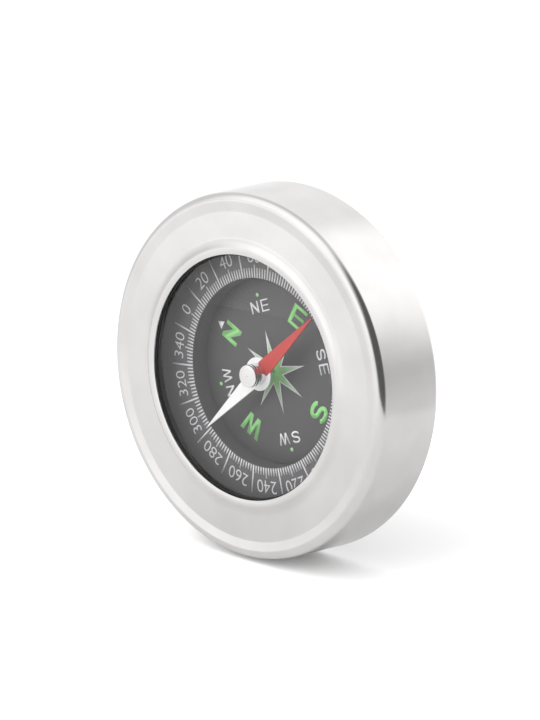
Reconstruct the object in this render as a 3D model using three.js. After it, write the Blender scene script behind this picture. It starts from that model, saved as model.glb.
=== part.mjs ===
// A round magnetic compass in a drawn steel case, standing on its rim.
// Millimetres, +Z up. The dial faces -Y and the needle turns about Y.
import * as THREE from 'three';

// Driving dimensions. A depth runs back from the crest of the front rim.

// Case sheet
const caseRadius = 37.5; // of the skirt at the back
const skirtDraft = 0.8; // by how much the skirt is narrower at the rim than at the back
const faceWidth = 12.94; // from the outside of the skirt in to the window's edge
const rimWidth = 4.5; // from the outside of the skirt in to the foot of the rim's slope
const sheet = 0.6;
const rimRoll = 1.6; // outside radius of the rounded shoulder
const faceDrop = 0.5; // from the rim's crest back to the flat of the face
const beadWidth = 2.94; // from the window's edge out to the foot of the bead
const beadCrestSet = 1.14; // from the window's edge out to the crest of the bead
const hemRoll = 0.8; // outside radius of the bend at the back
const hemReach = 2.2; // how far the hem turns in from the outside of the skirt

// Window and dial stack
const lensLap = 4.75; // how far the lens reaches under the face
const lensThick = 1;
const gasketSet = 0.5; // from the bead's foot in to the gasket
const lipWall = 0.2; // of the gasket, inside the window's edge
const lipRise = 0.28; // from the lens forward to the front of the lip
const spacerHeight = 3.95;
const spacerWall = 0.9;
const cardThick = 0.4;
const ringBand = 5.41; // from the window's edge in to the well of the dial
const wellDepth = 4; // from the degree ring back to the floor of the dial
const cupWall = 1.2;

// Needle
const tipLap = 0.25; // how far either tip reaches over the degree ring
const needleBearing = 47.2; // degrees clockwise from up, seen from the front, of the red tip
const bladeThick = 0.3;
const bladeClear = 0.3; // between the blade and the degree ring
const armWidth = 3.3;
const tipWidth = 0.24;
const bossRadius = 3.4;
const hubRadius = 2.27;
const hubClear = 0.35; // between the hub and the lens
const hubLip = 0.45;
const grooveDepth = 0.22;
const grooveWidth = 0.35;
const dimpleRadius = 0.22;
const dimpleDepth = 0.15;
const hubCap = 0.9; // solid height over the jewel
const spigotWall = 0.5;
const collarWall = 0.8;
const collarThick = 0.5;

// Pivot
const jewelRadius = 0.9;
const jewelThick = 1.1;
const jewelMouth = 0.6;
const jewelHollow = 0.7;
const pinRadius = 0.4;
const pinTaper = 1.6;
const pinPoint = 0.06; // radius of the pin's tip
const tipGap = 0.1; // between the pin's tip and the bottom of the jewel's hollow
const seatFlange = 0.7;
const seatFlangeThick = 0.5;
const seatWall = 0.6;
const washerWall = 1.1;
const washerThick = 0.4;
const seatProud = 0.2; // how far the seat stands out behind its washer

// Back
const cushionSet = 1.15; // from the wall of the well in to the edge of the cushion
const cushionThick = 2.25;
const plateThick = 1.2;
const padThick = 0.8;

// Clearances
const fit = 0.05; // between pieces that are pushed together
const looseFit = 0.3; // round soft pieces and what is dropped in
const cushionClear = 0.6; // from the pivot's washer to the hole of the cushion

// Facets round the axis and along the arcs of the sections
const wideSteps = 36;
const smallSteps = 32;
const beadSteps = 6;
const rimSteps = 9;
const hemSteps = 3;
const gasketSteps = 4;

// Finishes
const steel = { color: 0xd4d3d1, roughness: 0.28, metalness: 1 };
const plating = { color: 0xdcdcda, roughness: 0.2, metalness: 1 };
const pinSteel = { color: 0xb9bbbe, roughness: 0.25, metalness: 1 };
const brass = { color: 0xb08d4a, roughness: 0.35, metalness: 1 };
const redPaint = { color: 0xc8352f, roughness: 0.4, metalness: 0 };
const jewel = { color: 0x7d2233, roughness: 0.1, metalness: 0 };
const glass = { color: 0xf2f6f6, roughness: 0.05, metalness: 0, opacity: 0.2, transparent: true };
const ringPrint = { color: 0x3b3b3d, roughness: 0.6, metalness: 0 };
const dialPrint = { color: 0x434345, roughness: 0.6, metalness: 0 };
const blackPlastic = { color: 0x1e1e1f, roughness: 0.55, metalness: 0 };
const blackRubber = { color: 0x141415, roughness: 0.8, metalness: 0 };
const greyFoam = { color: 0x3a3a3b, roughness: 0.95, metalness: 0 };
const darkFelt = { color: 0x202123, roughness: 0.95, metalness: 0 };

// Depths that follow from the stack, front to back
const faceBack = faceDrop + sheet;
const lensFront = faceBack + fit;
const lensBack = lensFront + lensThick;
const ringFront = lensBack + spacerHeight;
const ringBack = ringFront + cardThick;
const floorFront = ringFront + wellDepth;
const floorBack = floorFront + cardThick;
const cupBack = floorBack + cupWall;
const washerBack = cupBack + washerThick;
const plateFront = cupBack + cushionThick + 2 * fit;
const plateBack = plateFront + plateThick;
const caseDepth = plateBack + sheet;
const overallDepth = plateBack + padThick;

const hubFront = lensBack + hubClear;
const bladeBack = ringFront - bladeClear;
const bladeFront = bladeBack - bladeThick;
const collarBack = bladeBack + collarThick;
const jewelFront = hubFront + hubCap;
const jewelBack = jewelFront + jewelThick;
const pinFront = jewelBack - jewelHollow + tipGap;
const flangeBack = floorBack + seatFlangeThick;
const seatBack = washerBack + seatProud;

// Radii that follow from the same values
const windowRadius = caseRadius - faceWidth;
const wellRadius = windowRadius - ringBand;
const needleReach = wellRadius + tipLap;
const cushionRadius = wellRadius - cushionSet;
const rimFoot = caseRadius - rimWidth;
const skirtFront = caseRadius - skirtDraft;
const beadFoot = windowRadius + beadWidth;
const beadCrest = windowRadius + beadCrestSet;
const beadRise = beadWidth - beadCrestSet;
const beadRoll = (beadRise ** 2 + faceDrop ** 2) / (2 * faceDrop);
const lensRadius = windowRadius + lensLap;
const cupBore = lensRadius + fit;
const cupRadius = cupBore + cupWall;
const jewelBore = jewelRadius + fit;
const spigotRadius = jewelBore + spigotWall;
const bladeBore = spigotRadius + fit;
const pinBore = pinRadius + fit;
const seatRadius = pinBore + seatWall;
const seatBore = seatRadius + fit;
const flangeRadius = seatRadius + seatFlange;
const washerRadius = seatBore + washerWall;
const plateRadius = caseRadius - hemRoll - fit;
const hemEdge = caseRadius - hemReach;
const axisHeight = caseRadius;

// Points [radius, depth] along an arc. An angle of 0 points out from the axis, a quarter turn points
// to the front.
function arc(centreRadius, centreDepth, radius, from, to, steps) {
  const points = [];
  for (let i = 0; i <= steps; i += 1) {
    const angle = from + ((to - from) * i) / steps;
    points.push([centreRadius + radius * Math.cos(angle), centreDepth - radius * Math.sin(angle)]);
  }
  return points;
}

// Closed section of a flat ring
function ringSection(inner, outer, front, back) {
  return [
    [inner, front],
    [outer, front],
    [outer, back],
    [inner, back],
    [inner, front],
  ];
}

// Section of a solid disc, from the axis to the axis
function discSection(outer, front, back) {
  return [
    [0, front],
    [outer, front],
    [outer, back],
    [0, back],
  ];
}

// A section turned about the Y axis. The flats of the facets lie at the stated radius, and one of them
// faces straight down.
function turned(section, steps) {
  const toCorner = 1 / Math.cos(Math.PI / steps);
  const points = section.map(
    ([radius, depth]) => new THREE.Vector2(radius * toCorner, depth - overallDepth / 2),
  );
  return new THREE.LatheGeometry(points, steps, Math.PI / steps);
}

function addTo(group, name, geometry, finish) {
  const mesh = new THREE.Mesh(geometry, new THREE.MeshStandardMaterial(finish));
  mesh.name = name;
  group.add(mesh);
}

// Drawn case: bead round the window, flat face, a slope up to the rounded rim, a skirt that widens to
// the back, and a turned-in hem
function caseSection() {
  const quarter = Math.PI / 2;
  const rimCentre = skirtFront - rimRoll;
  const hemCentre = caseRadius - hemRoll;
  const rimInside = rimRoll - sheet;
  const hemInside = hemRoll - sheet;
  const beadInside = beadRoll - sheet;
  const beadFlatAngle = Math.asin((beadRoll - faceDrop) / beadRoll);
  const beadEdgeAngle = quarter + Math.asin(beadCrestSet / beadRoll);
  const footAcross = rimCentre - rimFoot;
  const footBack = rimRoll - faceDrop;
  const rimSlope = Math.asin(rimRoll / Math.hypot(footAcross, footBack)) - Math.atan2(footBack, footAcross);
  const rimFootInside = rimFoot + sheet * Math.tan(rimSlope / 2);
  const draftAngle = Math.atan2(skirtDraft, caseDepth - hemRoll - rimRoll);
  const beadFlatInside = Math.asin((beadRoll - faceBack) / beadInside);
  const beadEdgeInside = quarter + Math.asin(beadCrestSet / beadInside);
  const outside = [
    ...arc(beadCrest, beadRoll, beadRoll, beadEdgeAngle, beadFlatAngle, beadSteps),
    [rimFoot, faceDrop],
    ...arc(rimCentre, rimRoll, rimRoll, quarter + rimSlope, draftAngle, rimSteps),
    ...arc(hemCentre, caseDepth - hemRoll, hemRoll, 0, -quarter, hemSteps),
    [hemEdge, caseDepth],
  ];
  const inside = [
    [hemEdge, caseDepth - sheet],
    ...arc(hemCentre, caseDepth - hemRoll, hemInside, -quarter, 0, hemSteps),
    ...arc(rimCentre, rimRoll, rimInside, draftAngle, quarter + rimSlope, rimSteps),
    [rimFootInside, faceBack],
    ...arc(beadCrest, beadRoll, beadInside, beadFlatInside, beadEdgeInside, beadSteps),
  ];
  return [...outside, ...inside, outside[0]];
}

// Soft ring that fills the hollow of the bead, on the lens, with a lip inside the window's edge
function gasketSection() {
  const lipOuter = windowRadius - fit;
  const lipInner = lipOuter - lipWall;
  const lipFront = lensFront - lipRise;
  const outer = beadFoot - gasketSet;
  const topRadius = beadRoll - sheet - fit;
  const innerAngle = Math.acos((lipOuter - beadCrest) / topRadius);
  const outerAngle = Math.acos((outer - beadCrest) / topRadius);
  return [
    [lipInner, lipFront],
    [lipOuter, lipFront],
    ...arc(beadCrest, beadRoll, topRadius, innerAngle, outerAngle, gasketSteps),
    [outer, lensFront],
    [lipInner, lensFront],
    [lipInner, lipFront],
  ];
}

// Stepped cup: a wall round the lens, a shelf under the degree ring, a well, and a floor sunk for the bush
function cupSection() {
  const shelfBack = ringBack + cupWall;
  const wellOutside = wellRadius + cupWall;
  const sinkRadius = flangeRadius + fit;
  return [
    [seatBore, flangeBack],
    [sinkRadius, flangeBack],
    [sinkRadius, floorBack],
    [wellRadius, floorBack],
    [wellRadius, ringBack],
    [cupBore, ringBack],
    [cupBore, lensFront],
    [cupRadius, lensFront],
    [cupRadius, shelfBack],
    [wellOutside, shelfBack],
    [wellOutside, cupBack],
    [seatBore, cupBack],
    [seatBore, flangeBack],
  ];
}

// Hub: a cap with a dimple and two grooves, a spigot through the blade and a bore for the jewel
function hubSection() {
  const waist = hubRadius - grooveDepth;
  const firstGroove = hubFront + hubLip;
  const secondGroove = firstGroove + grooveWidth + hubLip;
  return [
    [0, hubFront + dimpleDepth],
    [dimpleRadius, hubFront],
    [hubRadius, hubFront],
    [hubRadius, firstGroove],
    [waist, firstGroove],
    [waist, firstGroove + grooveWidth],
    [hubRadius, firstGroove + grooveWidth],
    [hubRadius, secondGroove],
    [waist, secondGroove],
    [waist, secondGroove + grooveWidth],
    [hubRadius, secondGroove + grooveWidth],
    [hubRadius, bladeFront],
    [spigotRadius, bladeFront],
    [spigotRadius, collarBack],
    [jewelBore, collarBack],
    [jewelBore, jewelFront],
    [0, jewelFront],
  ];
}

// Bearing cup with a conical hollow for the pin's tip
function jewelSection() {
  return [
    [0, jewelFront],
    [jewelRadius, jewelFront],
    [jewelRadius, jewelBack],
    [jewelMouth, jewelBack],
    [0, jewelBack - jewelHollow],
  ];
}

// Bush whose flange lies behind the dial card, sunk in the cup's floor
function seatSection() {
  return [
    [pinBore, floorBack],
    [flangeRadius, floorBack],
    [flangeRadius, flangeBack],
    [seatRadius, flangeBack],
    [seatRadius, seatBack],
    [pinBore, seatBack],
    [pinBore, floorBack],
  ];
}

function pinSection() {
  return [
    [0, pinFront],
    [pinPoint, pinFront],
    [pinRadius, pinFront + pinTaper],
    [pinRadius, seatBack],
    [0, seatBack],
  ];
}

// Flat blade: a round boss with two tapered arms, pierced for the hub's spigot
function bladeGeometry() {
  const halfArm = armWidth / 2;
  const halfTip = tipWidth / 2;
  const rootAngle = Math.acos(halfArm / bossRadius);
  const outline = new THREE.Shape();
  outline.moveTo(halfTip, needleReach);
  outline.lineTo(-halfTip, needleReach);
  outline.absarc(0, 0, bossRadius, Math.PI - rootAngle, Math.PI + rootAngle, false);
  outline.lineTo(-halfTip, -needleReach);
  outline.lineTo(halfTip, -needleReach);
  outline.absarc(0, 0, bossRadius, -rootAngle, rootAngle, false);
  const hole = new THREE.Path();
  hole.absarc(0, 0, bladeBore, 0, 2 * Math.PI, true);
  outline.holes.push(hole);
  const blade = new THREE.ExtrudeGeometry(outline, {
    depth: bladeThick,
    bevelEnabled: false,
    curveSegments: smallSteps / 2,
  });
  blade.rotateX(Math.PI / 2);
  blade.translate(0, bladeBack - overallDepth / 2, 0);
  return blade;
}

const compass = new THREE.Group();
compass.position.z = axisHeight;

// Case and window
const lensSection = discSection(lensRadius, lensFront, lensBack);
addTo(compass, 'case_shell', turned(caseSection(), wideSteps), steel);
addTo(compass, 'lens_gasket', turned(gasketSection(), wideSteps), blackRubber);
addTo(compass, 'lens', turned(lensSection, wideSteps), glass);

// Dial stack
const spacerSection = ringSection(lensRadius - spacerWall, lensRadius, lensBack, ringFront);
const scaleSection = ringSection(wellRadius, lensRadius, ringFront, ringBack);
const dialSection = ringSection(pinRadius + looseFit, wellRadius - fit, floorFront, floorBack);
addTo(compass, 'spacer_ring', turned(spacerSection, wideSteps), blackPlastic);
addTo(compass, 'scale_ring', turned(scaleSection, wideSteps), ringPrint);
addTo(compass, 'dial_disc', turned(dialSection, wideSteps), dialPrint);
addTo(compass, 'capsule_cup', turned(cupSection(), wideSteps), blackPlastic);

// Pivot
const washerSection = ringSection(seatBore, washerRadius, cupBack, washerBack);
addTo(compass, 'pivot_seat', turned(seatSection(), smallSteps), brass);
addTo(compass, 'pivot_washer', turned(washerSection, smallSteps), pinSteel);
addTo(compass, 'pivot_pin', turned(pinSection(), smallSteps), pinSteel);

// Needle, turned to its bearing as one piece
const collarSection = ringSection(spigotRadius + fit, spigotRadius + collarWall, bladeBack, collarBack);
const needle = new THREE.Group();
needle.rotation.y = THREE.MathUtils.degToRad(needleBearing);
compass.add(needle);
addTo(needle, 'needle_blade', bladeGeometry(), redPaint);
addTo(needle, 'needle_hub', turned(hubSection(), smallSteps), plating);
addTo(needle, 'hub_collar', turned(collarSection, smallSteps), plating);
addTo(needle, 'jewel_cup', turned(jewelSection(), smallSteps), jewel);

// Back
const surroundBore = cupRadius + looseFit;
const surroundRadius = skirtFront - sheet - looseFit;
const cushionBore = washerRadius + cushionClear;
const softBack = plateFront - fit;
const surroundSection = ringSection(surroundBore, surroundRadius, rimRoll + fit, softBack);
const cushionSection = ringSection(cushionBore, cushionRadius, cupBack + fit, softBack);
const plateSection = discSection(plateRadius, plateFront, plateBack);
const padSection = discSection(hemEdge - looseFit, plateBack, overallDepth);
addTo(compass, 'surround_ring', turned(surroundSection, wideSteps), blackPlastic);
addTo(compass, 'back_cushion', turned(cushionSection, wideSteps), greyFoam);
addTo(compass, 'back_plate', turned(plateSection, wideSteps), blackPlastic);
addTo(compass, 'back_pad', turned(padSection, wideSteps), darkFelt);

export default compass;
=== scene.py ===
"""Looks of a round magnetic compass: satin steel case, printed dial, red and white needle.

Metres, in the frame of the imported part: +Z up, the dial faces -Y, the compass stands on its rim.
Sections and marks are written in millimetres. A depth runs back from the crest of the front rim,
and a bearing runs clockwise from straight up, seen from the front.
"""

import math

import bmesh
import bpy
from mathutils import Matrix, Vector, noise


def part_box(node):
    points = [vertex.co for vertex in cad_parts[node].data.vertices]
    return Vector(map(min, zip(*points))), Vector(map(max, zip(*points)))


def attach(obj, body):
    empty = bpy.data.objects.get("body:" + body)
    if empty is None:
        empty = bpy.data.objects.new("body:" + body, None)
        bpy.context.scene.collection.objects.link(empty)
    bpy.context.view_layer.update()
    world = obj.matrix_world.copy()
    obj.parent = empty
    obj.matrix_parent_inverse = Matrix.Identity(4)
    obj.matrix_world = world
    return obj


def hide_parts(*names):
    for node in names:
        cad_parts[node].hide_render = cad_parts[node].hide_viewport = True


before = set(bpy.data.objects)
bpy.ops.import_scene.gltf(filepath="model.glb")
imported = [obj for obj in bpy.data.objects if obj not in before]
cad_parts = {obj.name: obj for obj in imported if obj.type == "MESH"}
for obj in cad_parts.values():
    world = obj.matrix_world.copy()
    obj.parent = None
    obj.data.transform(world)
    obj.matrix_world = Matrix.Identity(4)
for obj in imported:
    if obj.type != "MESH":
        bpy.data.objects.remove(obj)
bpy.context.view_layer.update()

MM = 0.001
ON_AXIS = 1e-9  # millimetres from the axis within which a point lies on it
WELD = 1e-7  # metres within which points are joined

# Places read from the frame
case_low, case_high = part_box("case_shell")
FRONT = case_low.y
AXIS_HEIGHT = (case_low.z + case_high.z) / 2


def radius_of(node):
    """Radius of a solid of the part, in millimetres."""
    low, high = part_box(node)
    return (high.x - low.x) / 2 / MM


def depths_of(node):
    """Depths of the front and the back of a solid of the part."""
    low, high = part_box(node)
    return (low.y - FRONT) / MM, (high.y - FRONT) / MM


CASE_RADIUS = radius_of("case_shell")
CASE_DEPTH = depths_of("case_shell")[1]
LENS_RADIUS = radius_of("lens")
LENS_FRONT, LENS_BACK = depths_of("lens")
RING_FRONT, RING_BACK = depths_of("scale_ring")
FLOOR_RADIUS = radius_of("dial_disc")
FLOOR_FRONT, FLOOR_BACK = depths_of("dial_disc")
CUP_RADIUS = radius_of("capsule_cup")
CUP_FRONT, CUP_BACK = depths_of("capsule_cup")
BLADE_FRONT, BLADE_BACK = depths_of("needle_blade")
HUB_RADIUS = radius_of("needle_hub")
HUB_FRONT, HUB_BACK = depths_of("needle_hub")
CUSHION_RADIUS = radius_of("back_cushion")
CUSHION_FRONT, CUSHION_BACK = depths_of("back_cushion")
PAD_RADIUS = radius_of("back_pad")
PAD_FRONT, PAD_BACK = depths_of("back_pad")

# Case sheet, as in the part
SHEET = 0.6
SKIRT_DRAFT = 0.8
RIM_WIDTH = 4.5
RIM_ROLL = 1.6
FACE_DROP = 0.5
WINDOW_RADIUS = 24.56
BEAD_WIDTH = 2.94
BEAD_CREST_SET = 1.14
BEAD_CENTRE = WINDOW_RADIUS + BEAD_CREST_SET
BEAD_ROLL = ((BEAD_WIDTH - BEAD_CREST_SET) ** 2 + FACE_DROP**2) / (2 * FACE_DROP)
HEM_ROLL = 0.8
HEM_REACH = 2.2

# Soft bends of the sheet, drawn here alone
WINDOW_EDGE = 0.08  # rounding of the sheet's edge at the window
BEAD_FALL = 1.2  # radius of the bead outside its crest
BEAD_CREASE = 4.2  # radius of the soft crease at the foot of the bead
RIM_CREASE = 1.2  # the same at the foot of the rim

# Inner pieces, as in the part but for the gasket's lip and the rounded edges
GASKET_SET = 0.5
LIP_WALL = 0.2
LIP_RISE = 0.5  # a little further forward than in the part
SPACER_WALL = 0.9
CUP_WALL = 1.2
WELL_RADIUS = 19.15
SEAT_BORE = 1.1
SINK_RADIUS = 1.8
SINK_DEPTH = 0.5
CARD_BORE = 0.7
FIT = 0.05
SMALL_EDGE = 0.08  # rounding of moulded and stamped edges

# Needle, as in the part
NEEDLE_BEARING = 47.2
NEEDLE_REACH = 19.4
ARM_WIDTH = 3.3
TIP_WIDTH = 0.24
BOSS_RADIUS = 3.4
ARM_ROOT = math.sqrt(BOSS_RADIUS**2 - (ARM_WIDTH / 2) ** 2)  # where an arm leaves the boss
BLADE_BORE = 1.5
RED_START = 1.65  # from the axis out to where the red paint begins
SPIGOT_RADIUS = 1.45
JEWEL_BORE = 0.95
JEWEL_FRONT = HUB_FRONT + 0.9
HUB_LIP = 0.45
HUB_EDGE = 0.1
GROOVE_DEPTH = 0.22
GROOVE_WIDTH = 0.35
DIMPLE_RADIUS = 0.22
DIMPLE_DEPTH = 0.15
DIMPLE_MIDDLE = (0.6, 0.7)  # shares of the radius and depth at a point part of the way down

# Back
PAD_EDGE = 0.3
PAD_RINGS = 26
PAD_STILL = 0.2  # thickness next to the plate that stays flat
FELT_WAVE = 0.06
FELT_WAVE_LENGTH = 7
CUSHION_BORE = 2.8
CUSHION_BULGE = 0.5

# Print on the dial
RING_NORTH = -64.45  # bearing of north on the degree ring
RING_SHIFT = Vector((0.13, 0.22))  # how far to the right and up the ring's print lies off the axis
FLOOR_NORTH = -62.55  # the same for the print on the floor of the dial
FLOOR_SHIFT = Vector((0.24, -0.34))
INK = 0.02  # thickness of the print
DIGIT_SHARE = 0.7  # height of a digit as a share of the type size
DIGIT_THIN = -0.03  # offset that thins the strokes of the digits
LETTER_SHARE = {"N": 0.86, "E": 0.86, "S": 0.87, "W": 1.2}  # width as a share of the height
E_ARM = 0.76  # thickness of the E's arms as a share of its stem
E_MIDDLE = 0.9  # reach of its middle arm as a share of the others
S_START = 12  # angle at which the stroke of the S starts, above the right of its upper bowl
TICK_STEP = 2
NUMBER_STEP = 20
TICK_INNER = 19.25
TICK_OUTER = 21.0
TICK_AT_NUMBER = 21.65
TICK_WIDTH = 0.3
LINE_OUTER = 25.4
LINE_WIDTH = 0.34
NUMBER_RADIUS = 23.34
NUMBER_HEIGHT = 2.6
POINTS = ("N", "NE", "E", "SE", "S", "SW", "W", "NW")
CARDINAL_RADIUS = 13.55
CARDINAL_HEIGHT = 4.5
CARDINAL_STROKE = 0.95
ORDINAL_RADIUS = 13.55
ORDINAL_HEIGHT = 2.45
ORDINAL_STROKE = 0.36
ORDINAL_GAP = 0.8
DOT_RADIUS = 15.9
DOT_SIZE = 0.42
POINTER_RADIUS = 17.2
POINTER_BASE = 1.9
POINTER_HEIGHT = 1.6
ROSE_TIP = 8.55
ROSE_CORNER = 2.4
ROSE_GREEN_TIP = 7.0
ROSE_GREEN_CORNER = 2.0
ROSE_FADE_START = 3.0  # from the axis out to where the green begins to fade to white
ROSE_FADE_END = 7.4

# Smoothness
WIDE_STEPS = 240
SMALL_STEPS = 72
EDGE_STEPS = 3
WINDOW_EDGE_STEPS = 4
BEAD_STEPS = 12
BEAD_CREASE_STEPS = 14
BEAD_INSIDE_STEPS = 8
RIM_CREASE_STEPS = 8
RIM_STEPS = 40
RIM_INSIDE_STEPS = 12
HEM_STEPS = 8
HEM_EDGE_STEPS = 6
HEM_INSIDE_STEPS = 4
LIP_STEPS = 6
HUB_EDGE_STEPS = 4
GROOVE_STEPS = 6
BOSS_STEPS = 16
PAD_EDGE_STEPS = 5
CUSHION_STEPS = 8
S_STEPS = 20
DOT_SIDES = 16
SHARP_ANGLE = math.radians(32)
LONG_STRETCH = 1.0  # a straight stretch of a section longer than this is held flat
HOLD = 0.06  # how far from its ends it is held

# Finishes
NOISE_LOW, NOISE_HIGH = 0.3, 0.7  # middle of a noise, which the colours and gloss are spread over
PLAIN_DETAIL = 4.0
COARSE_DETAIL = 3.0
FIBRE_DETAIL = 8.0
MARK_SCALE = 2.0  # patches in the turning marks round the axis
GRAIN_HEIGHT = 0.00002
TURNED_HEIGHT = 0.00001
FIBRE_HEIGHT = 0.0003
PRINT_ROUGH = (0.45, 0.6)
PRINT_GRAIN = 900
PRINT_BUMP = 0.02
CARD_ROUGH = (0.45, 0.52)
CARD_GRAIN = 600
PAINT_ROUGH = (0.32, 0.42)
ROSE_GREEN = (0.27, 0.58, 0.22)
ROSE_WHITE = (0.82, 0.84, 0.82)
ROSE_FLECK = 0.1
WINDOW_TINT = 0.995
WINDOW_IOR = 1.49
WINDOW_ROUGH = (0.01, 0.03)
WINDOW_SMEAR = 120
JEWEL_DARK = (0.20, 0.01, 0.03)
JEWEL_LIGHT = (0.34, 0.02, 0.06)
JEWEL_GRAIN = 1800
JEWEL_ROUGH = 0.08
JEWEL_IOR = 1.76
FIBRE_ROUGH = 0.95
FIBRE_PATCH = 14  # size of the patches of tone against the fibres
SHEEN = 0.25
SHEEN_ROUGH = 0.5
PAPER_ROUGH = 0.9
WHITE = (1, 1, 1, 1)

# Camera, fitted to the rim, the window and the ticks in the photograph
CAMERA_PLACE = Vector((0.25196, FRONT - 0.25603, AXIS_HEIGHT + 0.0831))
CAMERA_AIM = Vector((-0.67277, 0.70770, -0.21573))
CAMERA_LENS = 93.66
CAMERA_NEAR = 0.01
CAMERA_FAR = 50

# Studio: the plain level that lights the scene, the level that metal mirrors, and regions of that
# by bearing from the front to the right, elevation, inner and outer half-angle, change of level
STUDIO_PLAIN = 1.08
STUDIO_LEVEL = 1.19
STUDIO_REGIONS = (
    (-40, -6, 3, 10, 0.3),
    (75, 15, 34, 65, -1.06),
    (-11, 42, 30, 53, 0.38),
    (159, 30, 20, 33, 0.4),
    (130, -9, 6, 20, -0.32),
    (-136, 8, 4, 18, -0.13),
    (-87, 24, 9, 44, -0.3),
    (-95, 81, 2, 36, -0.39),
)
KEY_PLACE = Vector((-0.11, -0.42, 0.4))
KEY_AIM = Vector((-0.03, -0.05, 0.03))
KEY_SIZE = 0.6
KEY_POWER = 2.25
FLOOR_PLACE = Vector((-0.13, -0.13, 0))
FLOOR_REACH = 0.32
FLOOR_COLOUR = 0.72
FLOOR_SEEN = 1.0  # colour of the floor as the camera sees it
FLOOR_LIFT = 0.07  # light added where the floor is seen, straight on or in the steel


# Sections of turned pieces


def arc(centre_radius, centre_depth, radius, start, end, steps):
    """Points along an arc. An angle of 0 points out from the axis, 90 points to the front."""
    points = []
    for i in range(steps + 1):
        angle = math.radians(start + (end - start) * i / steps)
        across = radius * math.cos(angle)
        points.append((centre_radius + across, centre_depth - radius * math.sin(angle)))
    return points


def ring_section(inner, outer, front, back, edge):
    """Closed section of a flat ring with rounded edges."""
    return (
        arc(inner + edge, front + edge, edge, 180, 90, EDGE_STEPS)
        + arc(outer - edge, front + edge, edge, 90, 0, EDGE_STEPS)
        + arc(outer - edge, back - edge, edge, 0, -90, EDGE_STEPS)
        + arc(inner + edge, back - edge, edge, -90, -180, EDGE_STEPS)
    )


def disc_section(outer, front, back, edge):
    """Section of a solid disc with rounded edges, from the axis to the axis."""
    rim = arc(outer - edge, front + edge, edge, 90, 0, EDGE_STEPS)
    rim += arc(outer - edge, back - edge, edge, 0, -90, EDGE_STEPS)
    return [(0, front)] + rim + [(0, back)]


def held(section):
    """Adds a point near either end of each long straight stretch, so that it is shaded flat."""
    points = []
    for one, other in zip(section, section[1:] + section[:1]):
        points.append(one)
        length = math.dist(one, other)
        if length > LONG_STRETCH:
            for share in (HOLD / length, 1 - HOLD / length):
                points.append(tuple(a + (b - a) * share for a, b in zip(one, other)))
    return points


def case_section():
    """Drawn sheet: bead at the window, flat face, slope to the rim, drafted skirt and hem."""
    crease_depth = FACE_DROP - BEAD_CREASE
    bead_reach = math.sqrt((BEAD_FALL + BEAD_CREASE) ** 2 - (BEAD_FALL - crease_depth) ** 2)
    bead_tilt = math.degrees(math.acos(bead_reach / (BEAD_FALL + BEAD_CREASE)))
    edge_roll = BEAD_ROLL - WINDOW_EDGE
    bead_edge = 90 + math.degrees(math.asin((BEAD_CREST_SET - WINDOW_EDGE) / edge_roll))
    edge_turn = math.radians(bead_edge)
    edge_radius = BEAD_CENTRE + edge_roll * math.cos(edge_turn)
    edge_depth = BEAD_ROLL - edge_roll * math.sin(edge_turn)
    face_back = FACE_DROP + SHEET
    bead_inside = BEAD_ROLL - SHEET
    flat_inside = math.degrees(math.asin((BEAD_ROLL - face_back) / bead_inside))
    edge_inside = 90 + math.degrees(math.asin(BEAD_CREST_SET / bead_inside))
    foot = BEAD_CENTRE + bead_reach
    outside = arc(BEAD_CENTRE, BEAD_ROLL, BEAD_ROLL, bead_edge, 90, BEAD_STEPS)
    outside += arc(BEAD_CENTRE, BEAD_FALL, BEAD_FALL, 90, bead_tilt, BEAD_STEPS)[1:]
    outside += arc(foot, crease_depth, BEAD_CREASE, 180 + bead_tilt, 270, BEAD_CREASE_STEPS)[1:]

    rim_foot = CASE_RADIUS - RIM_WIDTH
    rim_centre = CASE_RADIUS - SKIRT_DRAFT - RIM_ROLL
    across = rim_centre - rim_foot
    back = RIM_ROLL - FACE_DROP
    slope = math.asin(RIM_ROLL / math.hypot(across, back)) - math.atan2(back, across)
    half_bend = math.tan(slope / 2)
    rim_start = 90 + math.degrees(slope)
    bend = rim_foot - RIM_CREASE * half_bend
    bend_depth = FACE_DROP - RIM_CREASE
    hem_centre = CASE_RADIUS - HEM_ROLL
    hem_depth = CASE_DEPTH - HEM_ROLL
    draft = math.degrees(math.atan2(SKIRT_DRAFT, hem_depth - RIM_ROLL))
    half_sheet = SHEET / 2
    hem_edge = CASE_RADIUS - HEM_REACH + half_sheet
    outside += arc(bend, bend_depth, RIM_CREASE, 270, rim_start + 180, RIM_CREASE_STEPS)
    outside += arc(rim_centre, RIM_ROLL, RIM_ROLL, rim_start, draft, RIM_STEPS)
    outside += arc(hem_centre, hem_depth, HEM_ROLL, draft, -90, HEM_STEPS)
    outside += arc(hem_edge, CASE_DEPTH - half_sheet, half_sheet, -90, -270, HEM_EDGE_STEPS)
    inside = arc(hem_centre, hem_depth, HEM_ROLL - SHEET, -90, draft, HEM_INSIDE_STEPS)
    inside += arc(rim_centre, RIM_ROLL, RIM_ROLL - SHEET, draft, rim_start, RIM_INSIDE_STEPS)
    inside += [(rim_foot + SHEET * half_bend, face_back)]
    inside += arc(BEAD_CENTRE, BEAD_ROLL, bead_inside, flat_inside, edge_inside, BEAD_INSIDE_STEPS)
    inside += arc(edge_radius, edge_depth, WINDOW_EDGE, 180, bead_edge, WINDOW_EDGE_STEPS)
    return held(outside + inside)


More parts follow.
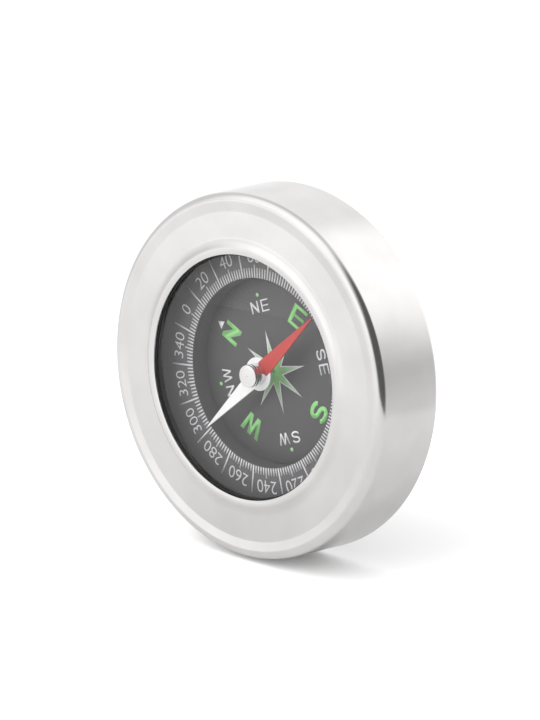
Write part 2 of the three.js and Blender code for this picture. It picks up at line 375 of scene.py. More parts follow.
def gasket_section():
    """Soft ring that fills the bead's hollow, on the lens, with a lip inside the window's edge."""
    top = BEAD_ROLL - SHEET - FIT
    lip_outer = WINDOW_RADIUS - FIT
    lip_half = LIP_WALL / 2
    lip_depth = LENS_FRONT - LIP_RISE + lip_half
    lip = arc(lip_outer - lip_half, lip_depth, lip_half, 180, 0, LIP_STEPS)
    outer = WINDOW_RADIUS + BEAD_WIDTH - GASKET_SET
    inner_angle = math.degrees(math.acos((lip_outer - BEAD_CENTRE) / top))
    outer_angle = math.degrees(math.acos((outer - BEAD_CENTRE) / top))
    hollow = arc(BEAD_CENTRE, BEAD_ROLL, top, inner_angle, outer_angle, BEAD_INSIDE_STEPS)
    return lip + hollow + [(outer, LENS_FRONT), (lip_outer - LIP_WALL, LENS_FRONT)]


def cup_section():
    """Stepped cup: a wall round the lens, a shelf under the degree ring, a well, a sunk floor."""
    bore = CUP_RADIUS - CUP_WALL
    shelf_back = RING_BACK + CUP_WALL
    return [
        (SEAT_BORE, FLOOR_BACK + SINK_DEPTH),
        (SINK_RADIUS, FLOOR_BACK + SINK_DEPTH),
        (SINK_RADIUS, FLOOR_BACK),
        (WELL_RADIUS, FLOOR_BACK),
        (WELL_RADIUS, RING_BACK),
        (bore, RING_BACK),
        (bore, CUP_FRONT),
        (CUP_RADIUS, CUP_FRONT),
        (CUP_RADIUS, shelf_back),
        (WELL_RADIUS + CUP_WALL, shelf_back),
        (WELL_RADIUS + CUP_WALL, CUP_BACK),
        (SEAT_BORE, CUP_BACK),
    ]


def groove(front):
    """Round-bottomed groove in the side of the hub."""
    half = GROOVE_WIDTH / 2
    points = []
    for i in range(GROOVE_STEPS + 1):
        turn = math.pi * i / GROOVE_STEPS
        depth = front + half - half * math.cos(turn)
        points.append((HUB_RADIUS - GROOVE_DEPTH * math.sin(turn), depth))
    return points


def hub_section():
    """Turned hub: a cap with a dimple and two grooves, a spigot and a bore for the jewel."""
    first = HUB_FRONT + HUB_LIP
    second = first + GROOVE_WIDTH + HUB_LIP
    share, down = DIMPLE_MIDDLE
    cap = [
        (0, HUB_FRONT + DIMPLE_DEPTH),
        (DIMPLE_RADIUS * share, HUB_FRONT + DIMPLE_DEPTH * down),
        (DIMPLE_RADIUS, HUB_FRONT),
    ]
    cap += arc(HUB_RADIUS - HUB_EDGE, HUB_FRONT + HUB_EDGE, HUB_EDGE, 90, 0, HUB_EDGE_STEPS)
    foot = [
        (HUB_RADIUS, BLADE_FRONT),
        (SPIGOT_RADIUS, BLADE_FRONT),
        (SPIGOT_RADIUS, HUB_BACK),
        (JEWEL_BORE, HUB_BACK),
        (JEWEL_BORE, JEWEL_FRONT),
        (0, JEWEL_FRONT),
    ]
    return cap + groove(first) + groove(second) + foot


def pad_section():
    """Felt disc with soft edges and rings of points across its back, for its slight waves."""
    flat = PAD_RADIUS - PAD_EDGE
    rim = arc(flat, PAD_BACK - PAD_EDGE, PAD_EDGE, 0, -90, PAD_EDGE_STEPS)
    across = [(flat * (PAD_RINGS - i) / PAD_RINGS, PAD_BACK) for i in range(1, PAD_RINGS + 1)]
    return [(0, PAD_FRONT), (PAD_RADIUS, PAD_FRONT)] + rim + across


def cushion_side(radius, sense, start, end):
    """Bulging side of the foam ring, outwards or inwards."""
    middle = (CUSHION_FRONT + CUSHION_BACK) / 2
    half = (CUSHION_BACK - CUSHION_FRONT) / 2
    points = []
    for i in range(CUSHION_STEPS + 1):
        angle = math.radians(start + (end - start) * i / CUSHION_STEPS)
        reach = radius + sense * CUSHION_BULGE * math.cos(angle)
        points.append((reach, middle - half * math.sin(angle)))
    return points


def cushion_section():
    """Foam ring whose inner and outer sides bulge."""
    outer = cushion_side(CUSHION_RADIUS - CUSHION_BULGE, 1, 90, -90)
    inner = cushion_side(CUSHION_BORE + CUSHION_BULGE, -1, -90, 90)
    return outer + inner


# Meshes


def place(radius, depth, bearing):
    """Point in the frame at a radius, depth and bearing."""
    turn = math.radians(bearing)
    reach = radius * MM
    height = AXIS_HEIGHT + reach * math.cos(turn)
    return Vector((reach * math.sin(turn), FRONT + depth * MM, height))


def turned(section, steps):
    """Mesh of a section turned about the axis, closed on itself or ending on the axis."""
    bm = bmesh.new()
    rings = []
    for radius, depth in section:
        if radius < ON_AXIS:
            rings.append([bm.verts.new(place(0, depth, 0))])
        else:
            bearings = [360 * i / steps for i in range(steps)]
            rings.append([bm.verts.new(place(radius, depth, bearing)) for bearing in bearings])
    pairs = list(zip(rings, rings[1:]))
    if section[0][0] > ON_AXIS:
        pairs.append((rings[-1], rings[0]))
    for one, other in pairs:
        for i in range(steps):
            j = (i + 1) % steps
            if len(one) == 1:
                bm.faces.new((one[0], other[i], other[j]))
            elif len(other) == 1:
                bm.faces.new((one[i], other[0], one[j]))
            else:
                bm.faces.new((one[i], other[i], other[j], one[j]))
    bmesh.ops.remove_doubles(bm, verts=bm.verts, dist=WELD)
    bmesh.ops.recalc_face_normals(bm, faces=bm.faces)
    return bm


def dial_matrix(bearing, radius, depth, shift=Vector((0, 0))):
    """Turns the plane of a mark, x to the right and y outwards, into the dial at a bearing."""
    turn = math.radians(bearing)
    right = Vector((math.cos(turn), 0, -math.sin(turn)))
    up = Vector((math.sin(turn), 0, math.cos(turn)))
    turned_axes = Matrix((right, up, Vector((0, -1, 0)))).transposed().to_4x4()
    aside = Vector((shift.x * MM, 0, shift.y * MM))
    return Matrix.Translation(place(radius, depth, bearing) + aside) @ turned_axes


def ring_matrix(degree, radius):
    """Plane of a mark on the degree ring."""
    return dial_matrix(RING_NORTH + degree, radius, RING_FRONT, RING_SHIFT)


def floor_matrix(degree, radius):
    """Plane of a mark on the floor of the dial."""
    return dial_matrix(FLOOR_NORTH + degree, radius, FLOOR_FRONT, FLOOR_SHIFT)


def add_plate(bm, outline, matrix, thick):
    """Adds a flat plate of an outline in millimetres, standing out from the matrix's plane."""
    low = [bm.verts.new(matrix @ Vector((x * MM, y * MM, 0))) for x, y in outline]
    high = [bm.verts.new(matrix @ Vector((x * MM, y * MM, thick * MM))) for x, y in outline]
    faces = [bm.faces.new(high), bm.faces.new(low[::-1])]
    for i in range(len(outline)):
        j = (i + 1) % len(outline)
        faces.append(bm.faces.new((low[i], low[j], high[j], high[i])))
    return faces


def add_digits(bm, text, height, matrix):
    """Adds a number in plain type, centred on the matrix's origin."""
    curve = bpy.data.curves.new("type", "FONT")
    curve.body = text
    curve.size = (height - 2 * DIGIT_THIN) * MM / DIGIT_SHARE
    curve.offset = DIGIT_THIN * MM
    curve.extrude = INK * MM / 2
    holder = bpy.data.objects.new("type", curve)
    bpy.context.scene.collection.objects.link(holder)
    bpy.context.view_layer.update()
    graph = bpy.context.evaluated_depsgraph_get()
    shape = bpy.data.meshes.new_from_object(holder.evaluated_get(graph))
    low_x = min(v.co.x for v in shape.vertices)
    high_x = max(v.co.x for v in shape.vertices)
    low_y = min(v.co.y for v in shape.vertices)
    high_y = max(v.co.y for v in shape.vertices)
    centre = Matrix.Translation((-(low_x + high_x) / 2, -(low_y + high_y) / 2, INK * MM / 2))
    shape.transform(matrix @ centre)
    bm.from_mesh(shape)
    bpy.data.objects.remove(holder)
    bpy.data.curves.remove(curve)
    bpy.data.meshes.remove(shape)


def piece(name, bm, materials, body, slot, *nodes):
    """Makes an object of a mesh, riding on a body, in place of the nodes named."""
    for face in bm.faces:
        face.smooth = True
    for edge in bm.edges:
        edge.smooth = len(edge.link_faces) == 2 and edge.calc_face_angle() < SHARP_ANGLE
    mesh = bpy.data.meshes.new(name)
    bm.to_mesh(mesh)
    bm.free()
    for material in materials:
        mesh.materials.append(material)
    obj = bpy.data.objects.new(name, mesh)
    bpy.context.scene.collection.objects.link(obj)
    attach(obj, body)
    if nodes:
        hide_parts(*nodes)
    return obj


# Materials


def new_material(name):
    """Makes a material, and gives its node tree and its shader with it."""
    material = bpy.data.materials.new(name)
    material.use_nodes = True
    return material, material.node_tree, material.node_tree.nodes["Principled BSDF"]


def add_node(tree, kind, links=None, **settings):
    """Adds a node, sets its properties and inputs by name, and links sockets into it."""
    node = tree.nodes.new(kind)
    for key, value in settings.items():
        if hasattr(node, key):
            setattr(node, key, value)
        else:
            node.inputs[key.replace("_", " ").title()].default_value = value
    for key, socket in (links or {}).items():
        tree.links.new(socket, node.inputs[key])
    return node


def place_of_surface(tree):
    """Place on the object that the material is on."""
    return add_node(tree, "ShaderNodeTexCoord").outputs["Object"]


def grain(tree, scale, detail=PLAIN_DETAIL, vector=None):
    """Noise across the surface, with features of about a metre divided by the scale."""
    links = {"Vector": vector or place_of_surface(tree)}
    return add_node(tree, "ShaderNodeTexNoise", links, Scale=scale, Detail=detail).outputs["Fac"]


def spread(tree, factor, low, high):
    """Maps the middle of a noise to a range of values."""
    node = add_node(tree, "ShaderNodeMapRange", {"Value": factor})
    node.inputs["From Min"].default_value = NOISE_LOW
    node.inputs["From Max"].default_value = NOISE_HIGH
    node.inputs["To Min"].default_value = low
    node.inputs["To Max"].default_value = high
    return node.outputs["Result"]


def between(tree, factor, dark, light):
    """Colour that goes from dark to light with a noise."""
    node = add_node(tree, "ShaderNodeValToRGB", {"Fac": factor})
    node.color_ramp.elements[0].position = NOISE_LOW
    node.color_ramp.elements[0].color = (*dark, 1)
    node.color_ramp.elements[1].position = NOISE_HIGH
    node.color_ramp.elements[1].color = (*light, 1)
    return node.outputs["Color"]


def add_bump(tree, shader, height, strength, distance):
    """Turns a noise into a fine unevenness of the surface."""
    links = {"Height": height}
    node = add_node(tree, "ShaderNodeBump", links, Strength=strength, Distance=distance)
    tree.links.new(node.outputs["Normal"], shader.inputs["Normal"])


def place_across_axis(tree):
    """Place of the surface across the compass's axis, its distance from the axis, and its depth."""
    axes = add_node(tree, "ShaderNodeSeparateXYZ", {"Vector": place_of_surface(tree)}).outputs
    height = add_node(tree, "ShaderNodeMath", {0: axes["Z"]}, operation="SUBTRACT")
    height.inputs[1].default_value = AXIS_HEIGHT
    sides = {"X": axes["X"], "Y": height.outputs[0]}
    flat = add_node(tree, "ShaderNodeCombineXYZ", sides).outputs[0]
    radius = add_node(tree, "ShaderNodeVectorMath", {0: flat}, operation="LENGTH").outputs["Value"]
    return flat, radius, axes["Y"]


def turning_marks(tree, scale):
    """Noise drawn out round the axis, as a lathe, a press or a polishing wheel leaves it."""
    flat, radius, depth = place_across_axis(tree)
    along = add_node(tree, "ShaderNodeVectorMath", {0: flat}, operation="NORMALIZE")
    parts = add_node(tree, "ShaderNodeSeparateXYZ", {"Vector": along.outputs["Vector"]}).outputs
    reach = add_node(tree, "ShaderNodeMath", {0: radius, 1: depth}, operation="ADD").outputs[0]
    lines = add_node(tree, "ShaderNodeMath", {0: reach}, operation="MULTIPLY")
    lines.inputs[1].default_value = scale
    links = {"X": parts["X"], "Y": parts["Y"], "Z": lines.outputs[0]}
    vector = add_node(tree, "ShaderNodeCombineXYZ", links).outputs[0]
    return grain(tree, MARK_SCALE, COARSE_DETAIL, vector)


def turned_metal(name, dark, light, rough, lines, bump, height=TURNED_HEIGHT, clouds=None):
    """Metal with turning marks, whose tone follows the marks or, where given, larger clouds."""
    material, tree, shader = new_material(name)
    marks = turning_marks(tree, lines)
    tone = grain(tree, clouds, COARSE_DETAIL) if clouds else marks
    shader.inputs["Metallic"].default_value = 1.0
    tree.links.new(between(tree, tone, dark, light), shader.inputs["Base Color"])
    tree.links.new(spread(tree, marks, *rough), shader.inputs["Roughness"])
    add_bump(tree, shader, marks, bump, height)
    return material


def matt(name, dark, light, rough, scale, bump):
    """Paint, print or plastic with a fine grain in its colour, gloss and height."""
    material, tree, shader = new_material(name)
    fine = grain(tree, scale)
    tree.links.new(between(tree, fine, dark, light), shader.inputs["Base Color"])
    tree.links.new(spread(tree, fine, *rough), shader.inputs["Roughness"])
    add_bump(tree, shader, fine, bump, GRAIN_HEIGHT)
    return material


def printed(name, dark, light):
    """Ink of the marks on the dial."""
    return matt(name, dark, light, PRINT_ROUGH, PRINT_GRAIN, PRINT_BUMP)


def rose_print():
    """Print that fades outwards from green to white."""
    material, tree, shader = new_material("rose_green")
    fine = grain(tree, PRINT_GRAIN)
    fade = add_node(tree, "ShaderNodeMapRange", {"Value": place_across_axis(tree)[1]})
    fade.inputs["From Min"].default_value = ROSE_FADE_START * MM
    fade.inputs["From Max"].default_value = ROSE_FADE_END * MM
    fade.inputs["To Min"].default_value = NOISE_LOW - ROSE_FLECK / 2
    fade.inputs["To Max"].default_value = NOISE_HIGH - ROSE_FLECK / 2
    links = {0: fine, 2: fade.outputs[0]}
    tone = add_node(tree, "ShaderNodeMath", links, operation="MULTIPLY_ADD")
    tone.inputs[1].default_value = ROSE_FLECK
    colour = between(tree, tone.outputs[0], ROSE_GREEN, ROSE_WHITE)
    tree.links.new(colour, shader.inputs["Base Color"])
    tree.links.new(spread(tree, fine, *PRINT_ROUGH), shader.inputs["Roughness"])
    add_bump(tree, shader, fine, PRINT_BUMP, GRAIN_HEIGHT)
    return material


def window_clear():
    """Clear sheet with a mirror on its front that grows towards the edge of sight."""
    material, tree, shader = new_material("window_clear")
    tree.nodes.remove(shader)
    smear = grain(tree, WINDOW_SMEAR, COARSE_DETAIL)
    through = add_node(tree, "ShaderNodeBsdfTransparent")
    through.inputs["Color"].default_value = (WINDOW_TINT, WINDOW_TINT, WINDOW_TINT, 1)
    mirror = add_node(
        tree, "ShaderNodeBsdfGlossy", {"Roughness": spread(tree, smear, *WINDOW_ROUGH)}
    )
    mirror.inputs["Color"].default_value = WHITE
    share = add_node(tree, "ShaderNodeFresnel")
    share.inputs["IOR"].default_value = WINDOW_IOR
    behind = add_node(tree, "ShaderNodeNewGeometry").outputs["Backfacing"]
    links = {"Factor": behind, "A": share.outputs[0]}
    front = add_node(tree, "ShaderNodeMix", links, data_type="FLOAT")
    front.inputs["B"].default_value = 0.0
    links = {0: front.outputs[0], 1: through.outputs[0], 2: mirror.outputs[0]}
    both = add_node(tree, "ShaderNodeMixShader", links)
    tree.links.new(both.outputs[0], tree.nodes["Material Output"].inputs["Surface"])
    return material


def jewel_stone():
    """Polished red stone of the bearing."""
    material, tree, shader = new_material("jewel_stone")
    colour = between(tree, grain(tree, JEWEL_GRAIN), JEWEL_DARK, JEWEL_LIGHT)
    tree.links.new(colour, shader.inputs["Base Color"])
    shader.inputs["Roughness"].default_value = JEWEL_ROUGH
    shader.inputs["IOR"].default_value = JEWEL_IOR
    return material


def fibrous(name, dark, light, scale, bump):
    """Felt or foam: a dull surface with a fibrous height and a soft sheen."""
    material, tree, shader = new_material(name)
    fine = grain(tree, scale, FIBRE_DETAIL)
    patches = grain(tree, scale / FIBRE_PATCH, COARSE_DETAIL)
    tree.links.new(between(tree, patches, dark, light), shader.inputs["Base Color"])
    shader.inputs["Roughness"].default_value = FIBRE_ROUGH
    shader.inputs["Sheen Weight"].default_value = SHEEN
    shader.inputs["Sheen Roughness"].default_value = SHEEN_ROUGH
    add_bump(tree, shader, fine, bump, FIBRE_HEIGHT)
    return material


steel = turned_metal(
    "satin_steel",
    (0.612, 0.598, 0.592),
    (0.672, 0.662, 0.657),
    rough=(0.14, 0.17),
    lines=9000,
    bump=0.012,
    height=GRAIN_HEIGHT,
    clouds=90,
)
plating = turned_metal(
    "plated_metal",
    (0.70, 0.695, 0.69),
    (0.75, 0.745, 0.74),
    rough=(0.10, 0.18),
    lines=30000,
    bump=0.05,
)
brass = turned_metal(
    "turned_brass",
    (0.46, 0.33, 0.13),
    (0.60, 0.45, 0.20),
    rough=(0.25, 0.4),
    lines=26000,
    bump=0.08,
)
pin_steel = turned_metal(
    "ground_steel",
    (0.46, 0.47, 0.48),
    (0.58, 0.59, 0.60),
    rough=(0.2, 0.3),
    lines=26000,
    bump=0.08,
)
clear_sheet = window_clear()
jewel = jewel_stone()
rubber = matt(
    "black_rubber",
    (0.012, 0.012, 0.013),
    (0.018, 0.018, 0.019),
    rough=(0.7, 0.85),
    scale=2600,
    bump=0.3,
)
plastic = matt(
    "black_plastic",
    (0.038, 0.038, 0.039),
    (0.050, 0.050, 0.051),
    rough=(0.4, 0.55),
    scale=2200,
    bump=0.2,
)
# Black plastic of the spacer, given a lighter grey as painted light: the grey stands in for the
# window's reflection over the spacer's shaded wall.
spacer_painted_light = matt(
    "spacer_painted_light",
    (0.18, 0.178, 0.18),
    (0.20, 0.198, 0.20),
    rough=(0.45, 0.55),
    scale=900,
    bump=0.05,
)
ring_ink = matt(
    "ring_print",
    (0.091, 0.089, 0.091),
    (0.097, 0.095, 0.097),
    rough=CARD_ROUGH,
    scale=CARD_GRAIN,
    bump=0.02,
)
floor_ink = matt(
    "dial_print",
    (0.066, 0.064, 0.066),
    (0.071, 0.069, 0.071),
    rough=CARD_ROUGH,
    scale=CARD_GRAIN,
    bump=0.01,
)
well_wall = matt(
    "well_wall",
    (0.089, 0.087, 0.089),
    (0.095, 0.093, 0.095),
    rough=CARD_ROUGH,
    scale=CARD_GRAIN,
    bump=0.02,
)
white_ink = printed("white_print", (0.82, 0.82, 0.83), (0.87, 0.87, 0.88))
grey_ink = printed("grey_print", (0.61, 0.61, 0.625), (0.66, 0.66, 0.675))
green_ink = printed("green_print", (0.27, 0.66, 0.22), (0.32, 0.71, 0.26))
rose_green = rose_print()
pale_green_ink = printed("pale_green_print", (0.38, 0.68, 0.34), (0.43, 0.73, 0.39))
red_paint = matt(
    "red_paint",
    (0.43, 0.027, 0.023),
    (0.50, 0.039, 0.032),
    rough=PAINT_ROUGH,
    scale=900,
    bump=0.1,
)
white_paint = matt(
    "white_paint",
    (0.74, 0.74, 0.73),
    (0.79, 0.79, 0.78),
    rough=PAINT_ROUGH,
    scale=900,
    bump=0.05,
)
felt = fibrous("dark_felt", (0.010, 0.010, 0.011), (0.024, 0.024, 0.026), scale=9000, bump=0.8)
foam = fibrous("grey_foam", (0.030, 0.030, 0.031), (0.060, 0.060, 0.062), scale=3500, bump=0.9)


# Case and window


def case_and_window():
    """Drawn case, window, gasket and spacer."""
    window = disc_section(LENS_RADIUS, LENS_FRONT, LENS_BACK, SMALL_EDGE)
    spacer = ring_section(LENS_RADIUS - SPACER_WALL, LENS_RADIUS, LENS_BACK, RING_FRONT, SMALL_EDGE)
    for name, section, material, slot, node in (
        ("drawn_case", case_section(), steel, "steel_case", "case_shell"),
        ("window", window, clear_sheet, "clear_lens", "lens"),
        ("window_gasket", gasket_section(), rubber, "black_rubber", "lens_gasket"),
        ("spacer", spacer, spacer_painted_light, "black_plastic", "spacer_ring"),
    ):
        piece(name, turned(section, WIDE_STEPS), [material], "case", slot, node)


# Dial


def dial_cards():
    """Degree ring, floor of the dial and the cup that holds them."""
    ring = ring_section(WELL_RADIUS, LENS_RADIUS, RING_FRONT, RING_BACK, SMALL_EDGE)
    floor = ring_section(CARD_BORE, FLOOR_RADIUS, FLOOR_FRONT, FLOOR_BACK, SMALL_EDGE)
    for name, section, material, slot, node in (
        ("degree_ring", ring, ring_ink, "ring_print", "scale_ring"),
        ("dial_floor", floor, floor_ink, "dial_print", "dial_disc"),
        ("dial_cup", cup_section(), well_wall, "black_plastic", "capsule_cup"),
    ):
        piece(name, turned(section, WIDE_STEPS), [material], "case", slot, node)


def bar(inner, outer, width):
    """Outline of a straight mark along a radius."""
    half = width / 2
    return [(-half, inner), (half, inner), (half, outer), (-half, outer)]


def star(tip, corner):
    """Outline of a star with a ray at each of the eight points."""
    points = []
    for i in range(2 * len(POINTS)):
        turn = math.pi * i / len(POINTS)
        reach = corner if i % 2 else tip
        points.append((reach * math.sin(turn), reach * math.cos(turn)))
    return points


def letter_n(half, rise, stroke):
    """Two stems and a diagonal."""
    run = 2 * (half - stroke)
    thick = stroke * math.hypot(run, 2 * rise) / run
    right = [(half - stroke, -rise), (half, -rise), (half, rise), (half - stroke, rise)]
    right += [(half - stroke, thick - rise)]
    return [(-x, -y) for x, y in right] + right


def letter_e(half, rise, stroke):
    """A stem and three arms, the middle one a little shorter."""
    arm = E_ARM * stroke
    stem = stroke - half
    lower = [(-half, -rise), (half, -rise), (half, arm - rise), (stem, arm - rise)]
    lower += [(stem, -arm / 2)]
    middle = [(E_MIDDLE * half, -arm / 2), (E_MIDDLE * half, arm / 2)]
    return lower + middle + [(x, -y) for x, y in reversed(lower)]


def letter_w(half, rise, stroke):
    """Four slanted strokes with flat ends."""
    lean = half / 2 / (2 * rise)
    flat = stroke * math.hypot(1, lean) / 2
    foot = (half - flat) / 2
    notch = flat / lean
    right = [(foot - flat, -rise), (foot + flat, -rise), (half, rise), (half - 2 * flat, rise)]
    right += [(foot, notch - rise), (flat, rise)]
    return [(0, rise - notch)] + right + [(-x, y) for x, y in reversed(right)]


def letter_s(half, rise, stroke):
    """A stroke along two half-open bowls."""
    wide = half - stroke / 2
    tall = (rise - stroke / 2) / 2
    upper = []
    for i in range(S_STEPS + 1):
        angle = math.radians(S_START + (270 - S_START) * i / S_STEPS)
        upper.append(Vector((wide * math.cos(angle), tall + tall * math.sin(angle))))
    path = upper + [-point for point in reversed(upper[:-1])]
    left = []
    right = []
    for i, point in enumerate(path):
        along = (path[min(i + 1, len(path) - 1)] - path[max(i - 1, 0)]).normalized()
        across = Vector((-along.y, along.x)) * stroke / 2
        left.append(tuple(point + across))
        right.append(tuple(point - across))
    return right + left[::-1]


LETTERS = {"N": letter_n, "E": letter_e, "S": letter_s, "W": letter_w}


def add_word(bm, word, height, stroke, gap, matrix):
    """Adds the letters of a word side by side, centred on the matrix's origin."""
    widths = [LETTER_SHARE[letter] * height for letter in word]
    start = -(sum(widths) + gap * (len(word) - 1)) / 2
    for letter, width in zip(word, widths):
        outline = LETTERS[letter](width / 2, height / 2, stroke)
        aside = Matrix.Translation(((start + width / 2) * MM, 0, 0))
        add_plate(bm, outline, matrix @ aside, INK)
        start += width + gap


def degree_scale():
    """Ticks at each second degree, longer at the numbers, and long lines between the numbers."""
    ticks = bmesh.new()
    numbers = bmesh.new()
    for degree in range(0, 360, TICK_STEP):
        at = ring_matrix(degree, 0)
        turn = math.radians(RING_NORTH + degree)
        start = TICK_INNER - RING_SHIFT.dot(Vector((math.sin(turn), math.cos(turn))))
        if degree % NUMBER_STEP == NUMBER_STEP / 2:
            add_plate(ticks, bar(start, LINE_OUTER, LINE_WIDTH), at, INK)
        elif degree % NUMBER_STEP == 0:
            add_plate(ticks, bar(start, TICK_AT_NUMBER, TICK_WIDTH), at, INK)
            add_digits(numbers, str(degree), NUMBER_HEIGHT, ring_matrix(degree, NUMBER_RADIUS))
        else:
            add_plate(ticks, bar(start, TICK_OUTER, TICK_WIDTH), at, INK)
    piece("degree_ticks", ticks, [grey_ink], "case", "ring_print")
    piece("degree_numbers", numbers, [grey_ink], "case", "ring_print")


def compass_points():
    """Green cardinal letters, white ordinal letters with dots outside them, a pointer at north."""
    cardinals = bmesh.new()
    ordinals = bmesh.new()
    dots = bmesh.new()
    pointer = bmesh.new()
    dot = arc(0, 0, DOT_SIZE, 0, 360 / DOT_SIDES - 360, DOT_SIDES - 1)
    for i, name in enumerate(POINTS):
        degree = 360 * i / len(POINTS)
        if len(name) == 1:
            at = floor_matrix(degree, CARDINAL_RADIUS)
            add_word(cardinals, name, CARDINAL_HEIGHT, CARDINAL_STROKE, 0, at)
        else:
            at = floor_matrix(degree, ORDINAL_RADIUS)
            add_word(ordinals, name, ORDINAL_HEIGHT, ORDINAL_STROKE, ORDINAL_GAP, at)
            add_plate(dots, dot, floor_matrix(degree, DOT_RADIUS), INK)
    half = POINTER_BASE / 2
    rise = POINTER_HEIGHT / 2
    triangle = [(-half, -rise), (half, -rise), (0, rise)]
    add_plate(pointer, triangle, floor_matrix(0, POINTER_RADIUS), INK)
    piece("cardinal_letters", cardinals, [green_ink], "case", "dial_print")
    piece("ordinal_letters", ordinals, [white_ink], "case", "dial_print")
    piece("ordinal_dots", dots, [pale_green_ink], "case", "dial_print")
    piece("north_pointer", pointer, [white_ink], "case", "dial_print")


def compass_rose():
    """Eight white rays, and a star on them that fades from green to white."""
    rays = bmesh.new()
    heart = bmesh.new()
    at = floor_matrix(0, 0)
    add_plate(rays, star(ROSE_TIP, ROSE_CORNER), at, INK)
    add_plate(heart, star(ROSE_GREEN_TIP, ROSE_GREEN_CORNER), at, 2 * INK)
    piece("rose_rays", rays, [white_ink], "case", "dial_print")
    piece("rose_star", heart, [rose_green], "case", "dial_print")


# Needle


def round_part(radius, start, end):
    """Points of a circle in the blade's plane, by angle from its right side to its red tip."""
    angles = [start + (end - start) * i / BOSS_STEPS for i in range(BOSS_STEPS + 1)]
    return [(radius * math.cos(angle), radius * math.sin(angle)) for angle in angles]


def red_arm():
    """Outline of the painted red arm, from the edge of the paint on the boss to the tip."""
    half = ARM_WIDTH / 2
    side = [(half, RED_START), (half, ARM_ROOT), (TIP_WIDTH / 2, NEEDLE_REACH)]
    return side + [(-x, y) for x, y in reversed(side)]


def white_arm():
    """Outlines of the two halves of the white arm and boss, which meet along the middle line."""
    root = math.acos(ARM_WIDTH / 2 / BOSS_RADIUS)
    half = [(0, RED_START)] + round_part(BLADE_BORE, math.pi / 2, -math.pi / 2)
    half += [(0, -NEEDLE_REACH), (TIP_WIDTH / 2, -NEEDLE_REACH)]
    half += round_part(BOSS_RADIUS, -root, root)
    half.append((ARM_WIDTH / 2, RED_START))
    return half, [(-x, y) for x, y in reversed(half)]


def needle():
    """Blade in two colours, and the hub on it."""
    blade = bmesh.new()
    at = dial_matrix(NEEDLE_BEARING, 0, BLADE_BACK)
    thick = BLADE_BACK - BLADE_FRONT
    add_plate(blade, red_arm(), at, thick)
    for outline in white_arm():
        for face in add_plate(blade, outline, at, thick):
            face.material_index = 1
    bmesh.ops.remove_doubles(blade, verts=blade.verts, dist=WELD)
    bmesh.ops.recalc_face_normals(blade, faces=blade.faces)
    piece("blade", blade, [red_paint, white_paint], "needle", "needle_paint", "needle_blade")
    hub = turned(hub_section(), SMALL_STEPS)
    piece("hub", hub, [plating], "needle", "hub_plating", "needle_hub")


# Back


def felt_pad():
    """Felt disc, slightly uneven across its back."""
    bm = turned(pad_section(), WIDE_STEPS)
    for vertex in bm.verts:
        if vertex.co.y > FRONT + (PAD_FRONT + PAD_STILL) * MM:
            wave = noise.noise(vertex.co / (FELT_WAVE_LENGTH * MM))
            vertex.co.y -= FELT_WAVE * MM * (1 + wave)
    pad = piece("felt_pad", bm, [felt], "case", "felt", "back_pad")


def foam_cushion():
    """Foam ring behind the cup."""
    bm = turned(cushion_section(), WIDE_STEPS)
    cushion = piece("foam_cushion", bm, [foam], "case", "foam", "back_cushion")


def dress_solids():
    """Finishes of the pieces whose solids already have their shape."""
    for node, material in (
        ("pivot_seat", brass),
        ("pivot_washer", pin_steel),
        ("pivot_pin", pin_steel),
        ("hub_collar", plating),
        ("jewel_cup", jewel),
        ("surround_ring", plastic),
        ("back_plate", plastic),
    ):
        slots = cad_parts[node].data.materials
        slots.clear()
        slots.append(material)


# Stage


def floor_paper():
    """White paper, lifted a little where it is seen, so that its shadow stays."""
    material, tree, shader = new_material("floor_paper")
    shader.inputs["Roughness"].default_value = PAPER_ROUGH
    shader.inputs["Specular IOR Level"].default_value = 0.0
    shader.inputs["Emission Color"].default_value = WHITE
    path = add_node(tree, "ShaderNodeLightPath").outputs
    links = {"Factor": path["Is Camera Ray"]}
    colour = add_node(tree, "ShaderNodeMix", links, data_type="FLOAT")
    colour.inputs["A"].default_value = FLOOR_COLOUR
    colour.inputs["B"].default_value = FLOOR_SEEN
    tree.links.new(colour.outputs[0], shader.inputs["Base Color"])
    links = {0: path["Is Glossy Ray"], 1: path["Is Transmission Ray"]}
    mirrored = add_node(tree, "ShaderNodeMath", links, operation="MAXIMUM").outputs[0]
    links = {0: path["Is Camera Ray"], 1: mirrored}
    seen = add_node(tree, "ShaderNodeMath", links, operation="MAXIMUM").outputs[0]
    lift = add_node(tree, "ShaderNodeMath", {0: seen}, operation="MULTIPLY")
    lift.inputs[1].default_value = FLOOR_LIFT
    tree.links.new(lift.outputs[0], shader.inputs["Emission Strength"])
    return material


def studio_floor():
    """Round sheet of paper that the compass stands on."""
    bm = bmesh.new()
    bmesh.ops.create_circle(bm, cap_ends=True, segments=WIDE_STEPS, radius=FLOOR_REACH)
    mesh = bpy.data.meshes.new("floor")
    bm.to_mesh(mesh)
    bm.free()
    mesh.materials.append(floor_paper())
    floor = bpy.data.objects.new("floor", mesh)
    floor.location = FLOOR_PLACE
    bpy.context.scene.collection.objects.link(floor)


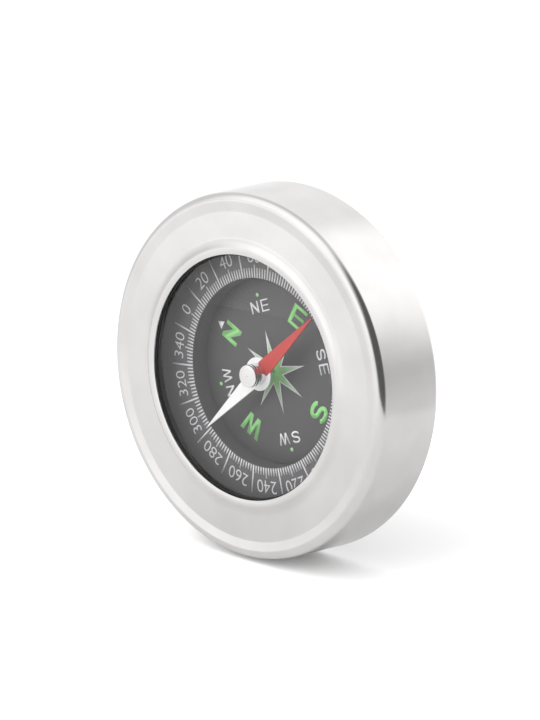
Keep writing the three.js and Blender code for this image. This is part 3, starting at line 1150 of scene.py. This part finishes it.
def studio_light():
    """White surroundings, with darker and brighter regions where metal mirrors them."""
    world = bpy.data.worlds.new("studio")
    bpy.context.scene.world = world
    world.use_nodes = True
    tree = world.node_tree
    tree.nodes.clear()
    way = add_node(tree, "ShaderNodeTexCoord").outputs["Generated"]
    total = None
    for bearing, elevation, inner, outer, gain in STUDIO_REGIONS:
        turn = math.radians(bearing)
        rise = math.radians(elevation)
        across = math.cos(rise)
        middle = (across * math.sin(turn), -across * math.cos(turn), math.sin(rise))
        towards = add_node(tree, "ShaderNodeVectorMath", {0: way}, operation="DOT_PRODUCT")
        towards.inputs[1].default_value = middle
        region = add_node(tree, "ShaderNodeMapRange", {"Value": towards.outputs["Value"]})
        region.interpolation_type = "SMOOTHSTEP"
        region.inputs["From Min"].default_value = math.cos(math.radians(outer))
        region.inputs["From Max"].default_value = math.cos(math.radians(inner))
        region.inputs["To Max"].default_value = gain
        level = add_node(tree, "ShaderNodeMath", {0: region.outputs[0]}, operation="ADD")
        level.inputs[1].default_value = STUDIO_LEVEL
        if total is not None:
            tree.links.new(total, level.inputs[1])
        total = level.outputs[0]
    path = add_node(tree, "ShaderNodeLightPath").outputs
    links = {"Factor": path["Is Glossy Ray"], "B": total}
    strength = add_node(tree, "ShaderNodeMix", links, data_type="FLOAT")
    strength.inputs["A"].default_value = STUDIO_PLAIN
    around = add_node(tree, "ShaderNodeBackground", {"Strength": strength.outputs[0]})
    around.inputs["Color"].default_value = WHITE
    add_node(tree, "ShaderNodeOutputWorld", {"Surface": around.outputs[0]})


def key_lamp():
    """Large soft lamp above the floor in front of the dial, a little to the left."""
    lamp = bpy.data.lights.new("key", "AREA")
    lamp.size = KEY_SIZE
    lamp.energy = KEY_POWER
    key = bpy.data.objects.new("key", lamp)
    key.location = KEY_PLACE
    key.rotation_euler = (KEY_AIM - KEY_PLACE).to_track_quat("-Z", "Y").to_euler()
    key.visible_glossy = False
    bpy.context.scene.collection.objects.link(key)


def photo_camera():
    """Camera at the photograph's place."""
    lens = bpy.data.cameras.new("camera")
    lens.lens = CAMERA_LENS
    lens.clip_start = CAMERA_NEAR
    lens.clip_end = CAMERA_FAR
    camera = bpy.data.objects.new("camera", lens)
    camera.location = CAMERA_PLACE
    camera.rotation_euler = CAMERA_AIM.to_track_quat("-Z", "Y").to_euler()
    bpy.context.scene.collection.objects.link(camera)
    bpy.context.scene.camera = camera


case_and_window()
dial_cards()
degree_scale()
compass_points()
compass_rose()
needle()
felt_pad()
foam_cushion()
dress_solids()
studio_floor()
studio_light()
key_lamp()
photo_camera()
bpy.context.scene.view_settings.view_transform = "Standard"
